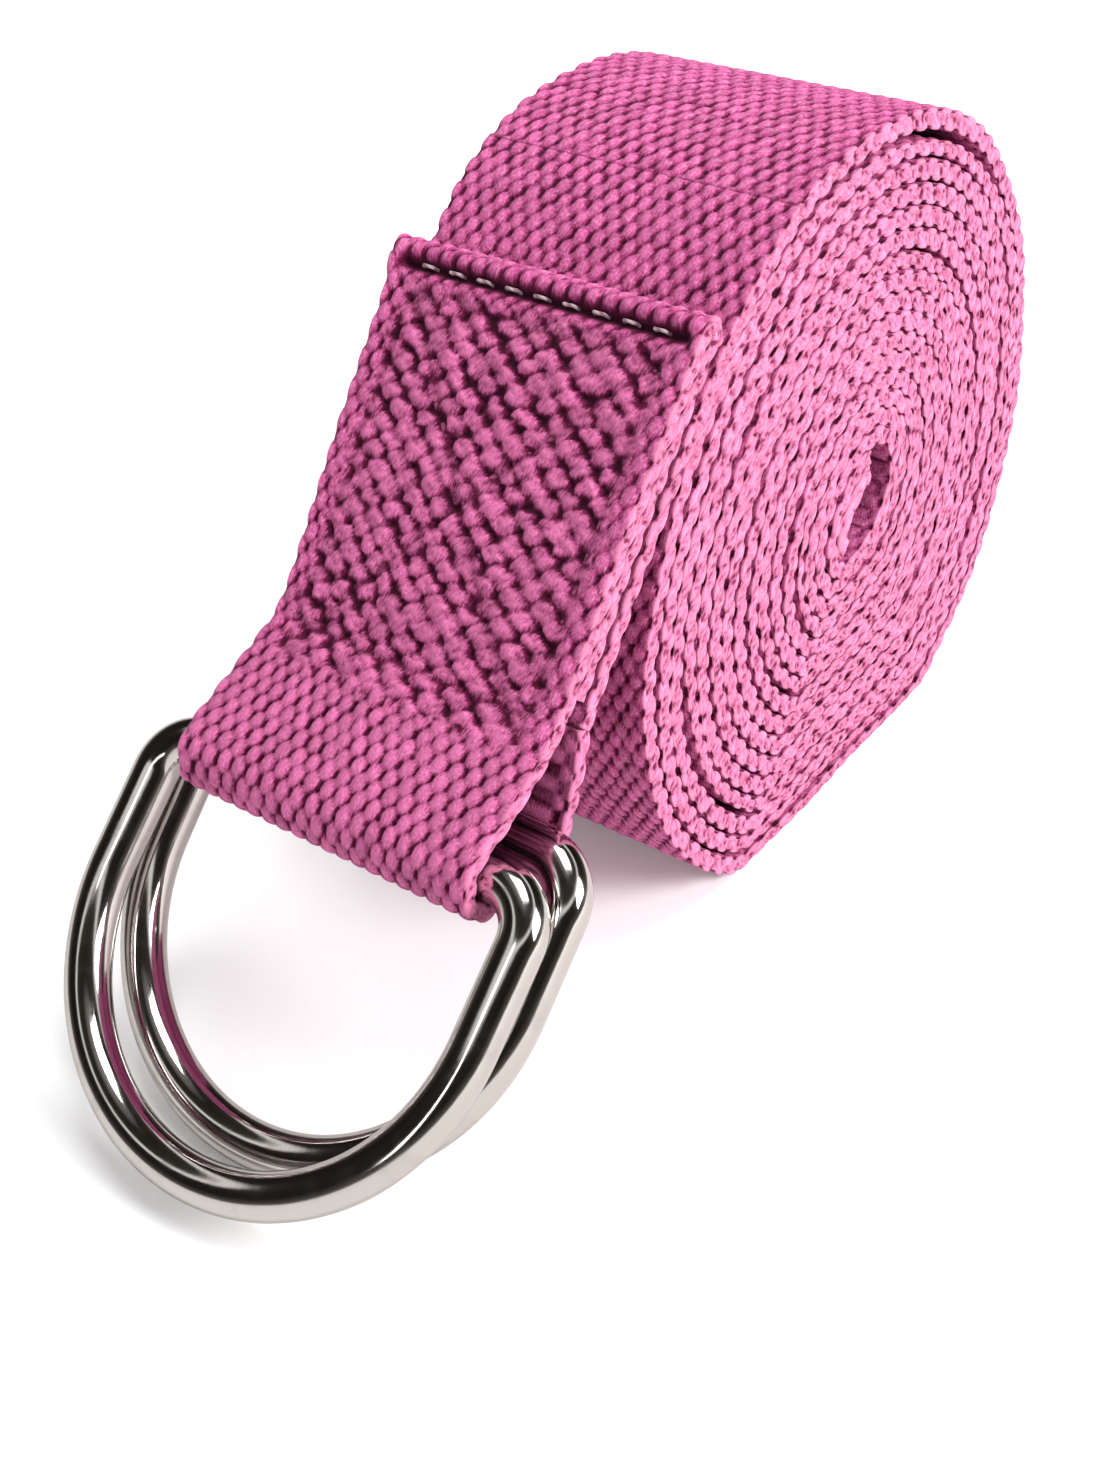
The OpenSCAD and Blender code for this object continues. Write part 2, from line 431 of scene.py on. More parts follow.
@dataclass(frozen=True)
class Section:
    """The webbing's outline across its width: the outer face, an edge, the inner face and an edge."""

    half_w: float = 19.0
    half_t: float = 1.1
    edge: float = 0.8
    squareness: float = 0.55
    outer_steps: int = 117
    inner_steps: int = 3
    arc_steps: int = 9
    border: float = 0.0
    border_steps: int = 3

    def face(self, steps: int) -> tuple[Array, Array]:
        """Places across one face, and which of them are plain because nothing shows there.

        Args:
            steps: How many even steps, or fewer than 10 for a face that only has detail at its borders.

        Returns:
            The places from one edge to the other, and a mask of the plain ones.
        """
        flat = self.half_w - self.edge
        if steps >= 10:
            places = np.linspace(-flat, flat, steps + 1)
            return places, np.zeros(places.shape, bool)
        rim = np.linspace(flat - self.border, flat, self.border_steps + 1)
        middle = np.linspace(-flat + self.border, flat - self.border, steps + 2)[1:-1] * 0.96
        places = np.concatenate([-rim[::-1], middle, rim])
        return places, np.abs(places) < flat - self.border - 1e-6

    def outline(self) -> dict[str, Array]:
        """Work out the outline.

        Each edge is half an ellipse, made a little squarer. A place on it counts as a place on both
        faces, by the distance round the edge from that face, so that yarns of both faces meet at the
        middle of the edge.

        Returns:
            Arrays along the outline: across and out are the place, in mm and in half thicknesses,
            lean_across and lean_out the outward direction, on_outer and on_inner the place across each
            face, plain the mask of plain places, and rim how near the middle of an edge it is.
        """
        outer, outer_plain = self.face(self.outer_steps)
        inner, inner_plain = self.face(self.inner_steps)
        turn = np.linspace(0.0, np.pi, self.arc_steps + 2)[1:-1]
        bow = np.sin(turn) ** self.squareness
        rise = np.sign(np.cos(turn)) * np.abs(np.cos(turn)) ** self.squareness
        flat = self.half_w - self.edge
        round_it = turn * (self.edge + self.half_t) / 2
        parts = [
            (outer, np.ones(outer.shape), np.zeros(outer.shape), np.ones(outer.shape),
             outer, outer + OUT_OF_REACH),
            (flat + self.edge * bow, rise, np.sin(turn), np.cos(turn),
             flat + round_it, flat + round_it[::-1]),
            (inner[::-1], -np.ones(inner.shape), np.zeros(inner.shape), -np.ones(inner.shape),
             inner[::-1] + OUT_OF_REACH, inner[::-1]),
            (-flat - self.edge * bow, -rise, -np.sin(turn), -np.cos(turn),
             -flat - round_it[::-1], -flat - round_it),
        ]
        plain = [outer_plain, np.zeros(turn.shape, bool), inner_plain[::-1], np.zeros(turn.shape, bool)]
        names = ("across", "out", "lean_across", "lean_out", "on_outer", "on_inner")
        rows = {name: np.concatenate([part[k] for part in parts]) for k, name in enumerate(names)}
        rows["plain"] = np.concatenate(plain)
        rows["rim"] = np.abs(rows["lean_across"])
        return rows


@dataclass(frozen=True)
class Skin:
    """A mesh made from a grid of points, with the values that its material reads."""

    points: Array
    relief: Array
    tone: Array
    place: Array
    rim: Array
    matted_and_lit: Array
    looped: bool = False

    def build(self, name: str) -> bpy.types.Object:
        """Make the closed mesh: quads round and along the grid, and one face on each end.

        A looped grid has no ends: its last row joins its first.

        Args:
            name: The piece's name.

        Returns:
            The object, at the origin.
        """
        rows, ring = self.points.shape[:2]
        here = np.arange(rows * ring).reshape(rows, ring)
        nextdoor = np.roll(here, -1, axis=1)
        if self.looped:
            here, nextdoor = (np.concatenate([rank, rank[:1]]) for rank in (here, nextdoor))
        quads = np.stack([here[:-1], nextdoor[:-1], nextdoor[1:], here[1:]], axis=-1).reshape(-1, 4)
        caps = np.concatenate([here[0][::-1], here[-1]])
        flat = self.points.reshape(-1, 3) * MM
        a, b, c, d = (flat[quads[:, k]] for k in range(4))
        volume = float(np.einsum("ij,ij->", np.cross(c - a, d - b), (a + b + c + d)))
        if volume < 0.0:
            quads, caps = quads[:, ::-1], np.concatenate([here[0], here[-1][::-1]])
        mesh = bpy.data.meshes.new(name)
        mesh.vertices.add(len(flat))
        mesh.vertices.foreach_set("co", flat.astype(np.float32).ravel())
        caps = caps[:0] if self.looped else caps
        loops = np.concatenate([quads.ravel(), caps]).astype(np.int32)
        mesh.loops.add(len(loops))
        mesh.loops.foreach_set("vertex_index", loops)
        starts = np.concatenate([np.arange(len(quads)) * 4, len(quads) * 4 + np.arange(0, len(caps), ring)])
        starts = starts.astype(np.int32)
        mesh.polygons.add(len(starts))
        mesh.polygons.foreach_set("loop_start", starts)
        mesh.polygons.foreach_set("use_smooth", np.ones(len(starts), bool))
        mesh.update(calc_edges=True)
        mesh.validate()
        for label in ("relief", "tone", "rim", "matted_and_lit"):
            values = getattr(self, label).astype(np.float32).ravel()
            mesh.attributes.new(label, "FLOAT", "POINT").data.foreach_set("value", values)
        place = mesh.attributes.new("place", "FLOAT_VECTOR", "POINT")
        place.data.foreach_set("vector", self.place.astype(np.float32).ravel())
        piece = bpy.data.objects.new(name, mesh)
        bpy.context.scene.collection.objects.link(piece)
        return piece


@dataclass(frozen=True)
class Look:
    """What shows at each place of a face: yarn height and number, lift of the surface, and the share of a
    paler tint on yarn tops, partly felted cotton and partly a painted highlight.
    """

    relief: Array
    tone: Array
    lift: Array
    matted_and_lit: Array


Shaping = Callable[[Array, Array, Look], Look]


@dataclass(frozen=True)
class Webbing:
    """One stretch of woven strap along a route."""

    route: Route
    section: Section
    weave: Weave = Weave()
    felt: Felt = Felt()
    spacing: float = 0.326
    first_along: float = 0.0
    depth: float = 0.6
    salt: float = 1.0
    calm: float = 0.45
    felted: float = 0.62
    # Relief of the plain faces, which comes out dark in the material: painted shade.
    hidden_shade: float = 0.15

    def skin(
        self,
        squeeze: Array | None = None,
        slack: Array | None = None,
        sway: Array | None = None,
        width: tuple[Array, Array] | None = None,
        shaping: Shaping | None = None,
        woven: Array | None = None,
    ) -> Skin:
        """Carry the section along the route, and press the weave into its surface.

        A point stands on the route, out by the section's thickness and across by its width, and is
        drawn in along the outline's own direction by the weave's depth times what its yarn lacks. Nothing
        goes below the surface that the roll stands on.

        Args:
            squeeze: Share of the thickness that is left at each station.
            slack: How far the outer face draws in at each station.
            sway: How far the webbing is shifted across at each station.
            width: Share of the half width at each station, on the -Y and on the +Y side.
            shaping: Changes what shows, from the places across the outer face and along.
            woven: Distance along the weave at each station, where it isn't that along the route.

        Returns:
            The skin, ready to build.
        """
        along = self.stations()
        points, out = self.route.at(along)
        edge = self.section.outline()
        ones = np.ones(len(along))
        squeeze = ones if squeeze is None else squeeze
        slack = ones * 0.0 if slack is None else slack
        sway = ones * 0.0 if sway is None else sway
        low, high = (ones, ones) if width is None else width
        v = (along + self.first_along)[:, None]
        rows = v if woven is None else woven[:, None]
        outer, outer_tone = self.weave.yarns(edge["on_outer"][None, :], rows, Side.OUTER)
        inner, inner_tone = self.weave.yarns(edge["on_inner"][None, :], rows, Side.INNER)
        relief = np.maximum(outer, inner)
        tone = np.where(outer >= inner, outer_tone, inner_tone)
        felted = np.where(edge["rim"] > 0.0, self.felted * smooth_step(edge["rim"], 0.55, 0.95), 0.0)
        round_edge = np.where(edge["rim"] > 0.0, edge["on_outer"], 0.0)
        relief = relief + (self.felt.face(round_edge[None, :], rows) - relief) * felted[None, :]
        # Plain faces, where nothing shows, get a low relief that sinks them and gives them the dark gap
        # colour: painted shade inside the eye and the loop.
        relief = np.where(edge["plain"][None, :], self.hidden_shade, relief)
        look = Look(relief, tone, np.zeros(relief.shape), np.zeros(relief.shape))
        if shaping is not None:
            look = shaping(edge["on_outer"][None, :] + 0.0 * v, v, look)
        drawn = self.depth * (look.relief - 1.0) * (1.0 - self.calm * edge["rim"])[None, :] + look.lift
        up = np.clip(edge["out"], 0.0, 1.0)[None, :]
        half_t = self.section.half_t
        n = edge["out"][None, :] * half_t * squeeze[:, None] - up * slack[:, None]
        n = n + drawn * edge["lean_out"][None, :] * squeeze[:, None]
        q = edge["across"][None, :] + drawn * edge["lean_across"][None, :]
        q = q * np.where(q < 0.0, low[:, None], high[:, None]) + sway[:, None]
        xz = points[:, None, :] + out[:, None, :] * n[..., None]
        grid = np.stack([xz[..., 0], q, np.maximum(xz[..., 1], 0.0)], axis=-1)
        across = np.where(np.abs(edge["on_outer"]) < OUT_OF_REACH / 2, edge["on_outer"], edge["on_inner"])
        place = np.stack([across[None, :] + 0.0 * v, v + 0.0 * relief, self.salt + 0.0 * relief], axis=-1)
        rim = edge["rim"][None, :] + 0.0 * relief
        return Skin(grid, look.relief, look.tone, place, rim, look.matted_and_lit)

    def stations(self) -> Array:
        """Return even distances along the route."""
        return np.linspace(0.0, self.route.length(), int(self.route.length() / self.spacing) + 1)


class Wiring:
    """Adds and joins the nodes of a material or a node group."""

    def __init__(self, tree: bpy.types.NodeTree) -> None:
        """Take the tree to add to."""
        self.tree = tree

    def add(self, kind: str, **settings: object) -> bpy.types.Node:
        """Return a new node of that kind with its properties set."""
        node = self.tree.nodes.new(kind)
        for name, value in settings.items():
            setattr(node, name, value)
        return node

    def feed(self, socket: bpy.types.NodeSocket, value: object) -> None:
        """Link value to the socket if it is a socket, or else set it there."""
        if isinstance(value, bpy.types.NodeSocket):
            self.tree.links.new(value, socket)
        else:
            socket.default_value = value

    def math(self, operation: str, a: object, b: object = 0.0, clamp: bool = False) -> bpy.types.NodeSocket:
        """Return the result of a Math node."""
        node = self.add("ShaderNodeMath", operation=operation, use_clamp=clamp)
        self.feed(node.inputs[0], a)
        self.feed(node.inputs[1], b)
        return node.outputs[0]

    def blend(self, share: object, a: object, b: object, mode: str = "MIX") -> bpy.types.NodeSocket:
        """Return the colour between a and b at that share."""
        node = self.add("ShaderNodeMix", data_type="RGBA", blend_type=mode)
        self.feed(node.inputs["Factor"], share)
        self.feed(node.inputs["A"], a)
        self.feed(node.inputs["B"], b)
        return node.outputs["Result"]

    def ramp(self, value: object, stops: tuple[tuple[float, tuple[float, ...]], ...]) -> bpy.types.NodeSocket:
        """Return the colour of a ramp at value."""
        node = self.add("ShaderNodeValToRGB")
        marks = node.color_ramp.elements
        while len(marks) < len(stops):
            marks.new(0.5)
        for mark, (position, colour) in zip(marks, stops):
            mark.position = position
            mark.color = (*colour, 1.0)
        self.feed(node.inputs["Fac"], value)
        return node.outputs["Color"]

    def spread(
        self, value: object, low: float, high: float, to_low: float, to_high: float
    ) -> bpy.types.NodeSocket:
        """Return value carried from one range to another, and held inside it."""
        node = self.add("ShaderNodeMapRange")
        for name, number in zip(("From Min", "From Max", "To Min", "To Max"), (low, high, to_low, to_high)):
            node.inputs[name].default_value = number
        self.feed(node.inputs["Value"], value)
        return node.outputs["Result"]

    def noise(self, at: object, scale: tuple[float, ...], detail: float = 3.0) -> bpy.types.NodeSocket:
        """Return noise from 0 to 1 at a place, with its own scale along each axis."""
        mapping = self.add("ShaderNodeMapping")
        self.feed(mapping.inputs["Vector"], at)
        mapping.inputs["Scale"].default_value = scale
        node = self.add("ShaderNodeTexNoise")
        node.inputs["Scale"].default_value = 1.0
        node.inputs["Detail"].default_value = detail
        self.feed(node.inputs["Vector"], mapping.outputs["Vector"])
        return node.outputs["Fac"]

    def value_of(self, name: str, output: str = "Fac") -> bpy.types.NodeSocket:
        """Return one of the mesh's own values."""
        return self.add("ShaderNodeAttribute", attribute_name=name).outputs[output]

    def settle(self, shader: bpy.types.Node, inputs: dict[str, object]) -> None:
        """Set or link each named input of a shader."""
        for name, value in inputs.items():
            self.feed(shader.inputs[name], value)

    def bump(self, shader: bpy.types.Node, height: object, strength: float, distance: float) -> None:
        """Raise a shader's surface by height.

        Args:
            shader: The shader.
            height: The height, as a share of distance.
            strength: How strongly the light shows it, from 0 to 1.
            distance: The distance, in metres.
        """
        node = self.add("ShaderNodeBump")
        self.settle(node, {"Strength": strength, "Distance": distance, "Height": height})
        self.feed(shader.inputs["Normal"], node.outputs["Normal"])


def new_material(name: str) -> tuple[bpy.types.Material, Wiring, bpy.types.Node]:
    """Return a new material, what wires it, and its shader."""
    material = bpy.data.materials.new(name)
    material.use_nodes = True
    return material, Wiring(material.node_tree), material.node_tree.nodes["Principled BSDF"]


def fibre_group() -> bpy.types.NodeTree:
    """Cotton fibres: fine streaks that run along the yarn, and small flecks.

    Returns:
        The group. It takes Place, in mm across and along, and gives Streak, Fleck and Height.
    """
    tree = bpy.data.node_groups.new("cotton fibres", "ShaderNodeTree")
    tree.interface.new_socket("Place", in_out="INPUT", socket_type="NodeSocketVector")
    for name in ("Streak", "Fleck", "Height"):
        tree.interface.new_socket(name, in_out="OUTPUT", socket_type="NodeSocketFloat")
    wires = Wiring(tree)
    entry, leave = wires.add("NodeGroupInput"), wires.add("NodeGroupOutput")
    lean = wires.add("ShaderNodeMapping")
    wires.feed(lean.inputs["Vector"], entry.outputs["Place"])
    lean.inputs["Rotation"].default_value = (0.0, 0.0, math.radians(14.0))
    place = lean.outputs["Vector"]
    streak = wires.noise(place, (5.2, 1.5, 3.0), 4.0)
    fleck = wires.noise(place, (3.1, 2.6, 3.0), 2.0)
    fine = wires.noise(place, (9.0, 3.2, 3.0), 3.0)
    wires.feed(leave.inputs["Streak"], streak)
    wires.feed(leave.inputs["Fleck"], fleck)
    wires.feed(leave.inputs["Height"], wires.math("ADD", wires.math("MULTIPLY", streak, 0.6), fine))
    return tree


@dataclass(frozen=True)
class CottonFinish:
    """Dyed cotton webbing, with painted shade in the gaps between the yarns, a painted highlight on their
    tops, and paler edges that are partly fuzz and partly painted light.
    """

    name: str = "cotton_webbing"
    # gap and deep stand for painted shade between the yarns; top is a painted highlight on them.
    gap: tuple[float, float, float] = (0.045, 0.002, 0.016)
    deep: tuple[float, float, float] = (0.17, 0.008, 0.058)
    yarn: tuple[float, float, float] = (0.49, 0.06, 0.225)
    top: tuple[float, float, float] = (0.72, 0.15, 0.385)
    fuzz: tuple[float, float, float] = (0.88, 0.40, 0.62)
    # Paler edge colour: partly cotton fuzz, partly painted light on the side that faces the key light.
    selvedge_fuzz_and_light: tuple[float, float, float] = (0.86, 0.27, 0.445)
    # felt is the paler pink that yarn tops in the sewn patch and the loop take on: partly felted cotton,
    # partly a painted highlight.
    felt: tuple[float, float, float] = (0.80, 0.21, 0.44)
    gap_shade_end: float = 0.5
    edge_lift: float = 0.42
    matting_and_highlight: float = 0.5
    roughness: float = 0.78

    def make(self, fibres: bpy.types.NodeTree) -> bpy.types.Material:
        """Build the material.

        Args:
            fibres: The cotton fibre group.

        Returns:
            The material.
        """
        material, wires, shader = new_material(self.name)
        relief, tone, rim = (wires.value_of(name) for name in ("relief", "tone", "rim"))
        cotton = wires.add("ShaderNodeGroup", node_tree=fibres)
        wires.feed(cotton.inputs["Place"], wires.value_of("place", "Vector"))
        streak, fleck = cotton.outputs["Streak"], cotton.outputs["Fleck"]
        # Relief is raised towards 1 on the edges, which lessens the painted gap shade there and leaves them
        # lighter.
        at_edge = wires.spread(rim, 0.1, 0.6, 0.0, self.edge_lift)
        lifted = wires.math("MULTIPLY", wires.math("SUBTRACT", 1.0, relief), at_edge)
        lifted = wires.math("ADD", relief, lifted)
        height = wires.math("ADD", lifted, wires.spread(streak, 0.3, 0.7, -0.16, 0.12), True)
        # Relief picks the colour: where it is low, between yarns, in the felted pits and on sunk stitched
        # lines, the dark gap and deep colours are painted shade; the pale top colour on the highest yarns is
        # a painted highlight.
        colour = wires.ramp(
            height, ((0.06, self.gap), (self.gap_shade_end, self.deep), (0.74, self.yarn), (0.98, self.top))
        )
        shown = wires.spread(height, 0.45, 0.85, 0.0, 1.0)
        pale = wires.math("MULTIPLY", wires.spread(fleck, 0.45, 0.72, 0.0, 0.5), shown)
        colour = wires.blend(pale, colour, (*self.fuzz, 1.0))
        # Yarn tops on the edges take the paler edge colour: partly fuzz, partly painted light.
        edge = wires.math("MULTIPLY", wires.spread(rim, 0.1, 0.6, 0.0, 0.95), shown)
        colour = wires.blend(edge, colour, (*self.selvedge_fuzz_and_light, 1.0))
        # Yarn tops of the sewn patch and the loop take the paler felt colour: partly felted cotton, partly a
        # painted highlight.
        matted_and_lit = wires.math("MULTIPLY", wires.value_of("matted_and_lit"), shown)
        colour = wires.blend(wires.math("MULTIPLY", matted_and_lit, self.matting_and_highlight), colour, (*self.felt, 1.0))
        uneven = wires.math("ADD", tone, wires.math("MULTIPLY", streak, 0.8))
        shade = wires.spread(uneven, 0.2, 1.6, 0.78, 1.1)
        dim = wires.add("ShaderNodeCombineColor")
        for channel in ("Red", "Green", "Blue"):
            wires.feed(dim.inputs[channel], shade)
        wires.settle(shader, {
            "Base Color": wires.blend(1.0, colour, dim.outputs["Color"], "MULTIPLY"),
            "Roughness": wires.spread(streak, 0.2, 0.8, self.roughness + 0.1, self.roughness - 0.08),
            "Specular IOR Level": 0.14,
            "Sheen Weight": 0.06,
            "Sheen Roughness": 0.5,
            "Sheen Tint": (1.0, 0.62, 0.82, 1.0),
        })
        wires.bump(shader, cotton.outputs["Height"], 0.9, 0.3 * MM)
        return material


@dataclass(frozen=True)
class ThreadFinish:
    """Twisted sewing thread: slanting plies, darker between them as painted shade and paler on top as a
    painted highlight.
    """

    name: str
    pale: tuple[float, float, float]
    deep: tuple[float, float, float]
    plies: float = 5.0

    def make(self, fibres: bpy.types.NodeTree) -> bpy.types.Material:
        """Build the material.

        Args:
            fibres: The cotton fibre group.

        Returns:
            The material.
        """
        material, wires, shader = new_material(self.name)
        place = wires.value_of("place", "Vector")
        apart = wires.add("ShaderNodeSeparateXYZ")
        wires.feed(apart.inputs["Vector"], place)
        lay = wires.math("ADD", apart.outputs["X"], wires.math("MULTIPLY", apart.outputs["Y"], self.plies))
        ply = wires.spread(wires.math("SINE", lay), -1.0, 1.0, 0.0, 1.0)
        cotton = wires.add("ShaderNodeGroup", node_tree=fibres)
        wires.feed(cotton.inputs["Place"], place)
        flecks = wires.math("MULTIPLY", cotton.outputs["Fleck"], 0.3)
        mixed = wires.math("ADD", wires.math("MULTIPLY", ply, 0.8), flecks)
        # The ramp from deep to pale paints shade between the plies and a highlight on their tops.
        colour = wires.ramp(mixed, ((0.1, self.deep), (0.75, self.pale)))
        wires.settle(shader, {"Base Color": colour, "Roughness": 0.55, "Sheen Weight": 0.15})
        wires.bump(shader, ply, 0.8, 0.12 * MM)
        return material


@dataclass(frozen=True)
class NickelFinish:
    """Polished nickel plate with faint drawing marks along the wire and small scuffs."""

    name: str = "polished_nickel"
    plate: tuple[float, float, float] = (0.60, 0.57, 0.55)
    worn: tuple[float, float, float] = (0.46, 0.43, 0.41)
    roughness: float = 0.07

    def make(self) -> bpy.types.Material:
        """Build and return the material."""
        material, wires, shader = new_material(self.name)
        place = wires.value_of("place", "Vector")
        drawn = wires.noise(place, (2.4, 0.05, 1.0), 4.0)
        scuff = wires.noise(place, (0.5, 0.35, 1.0), 5.0)
        wear = wires.spread(scuff, 0.5, 0.75, 0.0, 0.6)
        colour = wires.blend(wear, (*self.plate, 1.0), (*self.worn, 1.0))
        marks = wires.spread(drawn, 0.3, 0.7, 0.0, 0.05)
        rough = wires.math("ADD", marks, wires.spread(scuff, 0.5, 0.8, 0.0, 0.1))
        rough = wires.math("ADD", rough, self.roughness)
        wires.settle(shader, {"Base Color": colour, "Roughness": rough, "Metallic": 1.0})
        wires.bump(shader, wires.math("ADD", drawn, scuff), 0.25, 0.04 * MM)
        return material


@dataclass(frozen=True)
class Finishes:
    """Every material of the strap."""

    cotton: bpy.types.Material
    pale_thread: bpy.types.Material
    pink_thread: bpy.types.Material
    nickel: bpy.types.Material

    @staticmethod
    def make() -> "Finishes":
        """Build the node group and the materials, and return them."""
        fibres = fibre_group()
        pale = ThreadFinish("pale_thread", (0.6, 0.44, 0.48), (0.24, 0.1, 0.14))
        pink = ThreadFinish("pink_thread", (0.36, 0.045, 0.16), (0.1, 0.008, 0.035))
        cotton, nickel = CottonFinish().make(fibres), NickelFinish().make()
        return Finishes(cotton, pale.make(fibres), pink.make(fibres), nickel)


def cloth(
    piece: bpy.types.Object, length: float
) -> bpy.types.Object:
    """Return the piece as it is."""
    return piece


def dress(
    piece: bpy.types.Object, material: bpy.types.Material, body: str | None, nodes: tuple[str, ...]
) -> bpy.types.Object:
    """Give a piece its material and body, and hide the parts that it stands for.

    Args:
        piece: The finished piece.
        material: Its material.
        body: The body that it rides on, or None if it lies between two.
        nodes: The parts that it stands for.

    Returns:
        The piece.
    """
    piece.data.materials.append(material)
    if body is not None:
        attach(piece, body)
    if nodes:
        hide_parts(*nodes)
    log.info("%s: %d faces", piece.name, len(piece.data.polygons))
    return piece


@dataclass
class Roll:
    """The wound part of the strap, from its free end in the eye to where the sewn end leaves it."""

    finishes: Finishes
    winding: Winding = Winding()
    half_w: float = 18.9
    half_t: float = 1.15
    edge: float = 0.42
    near_w: float = 18.4
    far_w: float = 19.2
    sway: float = 0.3
    outer_degrees: float = 430.0
    inner_pieces: int = 3
    outer_pieces: int = 2
    bridge_back: float = 13.0
    degree_step: float = 0.25
    hem_degrees: float = 156.0
    hem_in: float = 2.5
    hem_half_t: float = 1.3
    hem_seam: float = 0.8

    def section(self, outer_steps: int) -> Section:
        """Return the wound webbing's outline, with that many steps across its outer face."""
        return Section(self.half_w, self.half_t, self.edge, outer_steps=outer_steps, inner_steps=2,
                       border=1.3, border_steps=2)

    def bridge_start(self) -> float:
        """Return the degrees wound at which the bending stretch starts."""
        return self.winding.wound - math.degrees(self.bridge_back / self.winding.outer_r)

    def stretch(self, name: str, first: float, last: float, section: Section, under: str) -> bpy.types.Object:
        """Build one stretch of the winding.

        Args:
            name: The stretch's name.
            first: Degrees wound at its start.
            last: Degrees wound at its end.
            section: The webbing's outline.
            under: What it lies on; not used.

        Returns:
            The piece.
        """
        wound = np.arange(first, last + self.degree_step / 2, self.degree_step)
        route = Route(self.winding.line(wound))
        before = Route(self.winding.line(np.arange(0.0, first + self.degree_step, self.degree_step))).length()
        webbing = Webbing(route, section, first_along=before, salt=before % 17.0)
        along = webbing.stations()
        at = np.interp(along, route.marks(), wound)
        distance = along + before
        sway = self.sway * ripple(distance, (61.0, 137.0, 23.0), 1.0)
        log.info("%s starts %.0f mm from the free end", name, before)
        even = np.ones(len(along))
        width = (even * self.near_w / self.half_w, even * self.far_w / self.half_w)
        skin = webbing.skin(self.winding.press(at), self.winding.slack(at), sway, width)
        return cloth(skin.build(name), route.length())

    def build(self) -> list[bpy.types.Object]:
        """Build the inner turns, the outer turn and the hem in the eye, and return them."""
        change = self.winding.wound - self.outer_degrees
        rim_only, faced = self.section(2), self.section(116)
        hem = self.free_hem()
        pieces = [hem]
        inner = np.sqrt(np.linspace(0.0, change**2, self.inner_pieces + 1))
        inner = np.round(inner / self.degree_step) * self.degree_step
        outer = np.linspace(change, self.bridge_start(), self.outer_pieces + 1)
        for label, cuts, section in (("inner_turns", inner, rim_only), ("outer_turn", outer, faced)):
            for k, (first, last) in enumerate(zip(cuts[:-1], cuts[1:])):
                pieces.append(self.stretch(f"{label}_{k + 1}", first, last, section, pieces[-1].name))
        for k, piece in enumerate(pieces[1:]):
            dress(piece, self.finishes.cotton, "roll", ("rolled_webbing",) if k == 0 else ())
        return [*pieces, self.free_thread()]

    def hem_route(self) -> Route:
        """Follow the last stretch of the strap, turned back on itself inside the eye, and return it."""
        wound = np.arange(0.0, self.hem_degrees, self.degree_step * 4)
        line = self.winding.line(wound)
        points, out = Route(line).at(Route(line).marks())
        return Route(points - out * self.hem_in)

    def free_hem(self) -> bpy.types.Object:
        """Build the turned-back stretch, and return it."""
        route = self.hem_route()
        section = Section(self.half_w - 0.5, self.hem_half_t, outer_steps=2, inner_steps=60, border=1.3,
                          border_steps=2)
        piece = Webbing(route, section, spacing=0.4, salt=5.0).skin().build("free_end_hem_webbing")
        cloth(piece, route.length())
        return dress(piece, self.finishes.cotton, "roll", ("free_end_hem",))

    def free_thread(self) -> bpy.types.Object:
        """Build the stitches that hold the turned-back stretch, and return them."""
        route = self.hem_route()
        points, out = route.at(np.array([route.length() * self.hem_seam]))
        slope = math.degrees(math.atan2(out[0, 0], -out[0, 1]))
        place = EndFrame(slope, tuple(points[0]))
        seam = Seam((0.0, -15.5), (0.0, 15.5), self.hem_half_t - 0.35, radius=0.28)
        piece = seam.build("free_end_thread", place)
        return dress(piece, self.finishes.pink_thread, "roll", ("free_end_stitches",))


@dataclass(frozen=True)
class Thread:
    """A round thread or wire that follows a line in space."""

    line: Array
    up: Array
    radius: float
    ring: int = 10
    looped: bool = False

    def skin(self) -> Skin:
        """Carry a circle along the line.

        Returns:
            The skin, with the angle round the thread and the distance along it as its place.
        """
        if self.looped:
            around = np.concatenate([self.line[-1:], self.line, self.line[:1]])
            way = (around[2:] - around[:-2]) / 2.0
        else:
            way = np.gradient(self.line, axis=0)
        way /= np.linalg.norm(way, axis=1, keepdims=True)
        side = np.cross(way, np.broadcast_to(self.up, way.shape))
        side /= np.linalg.norm(side, axis=1, keepdims=True)
        top = np.cross(side, way)
        turn = np.linspace(0.0, 2 * np.pi, self.ring, endpoint=False)
        spoke = side[:, None] * np.cos(turn)[None, :, None] + top[:, None] * np.sin(turn)[None, :, None]
        steps = np.linalg.norm(np.diff(self.line, axis=0), axis=1)
        along = np.concatenate([[0.0], np.cumsum(steps)])[:, None]
        flat = np.zeros((len(self.line), self.ring))
        place = np.stack([turn[None, :] + flat, along + flat, flat], axis=-1)
        grid = self.line[:, None] + spoke * self.radius
        return Skin(grid, flat + 1.0, flat + 0.5, place, flat, flat, self.looped)


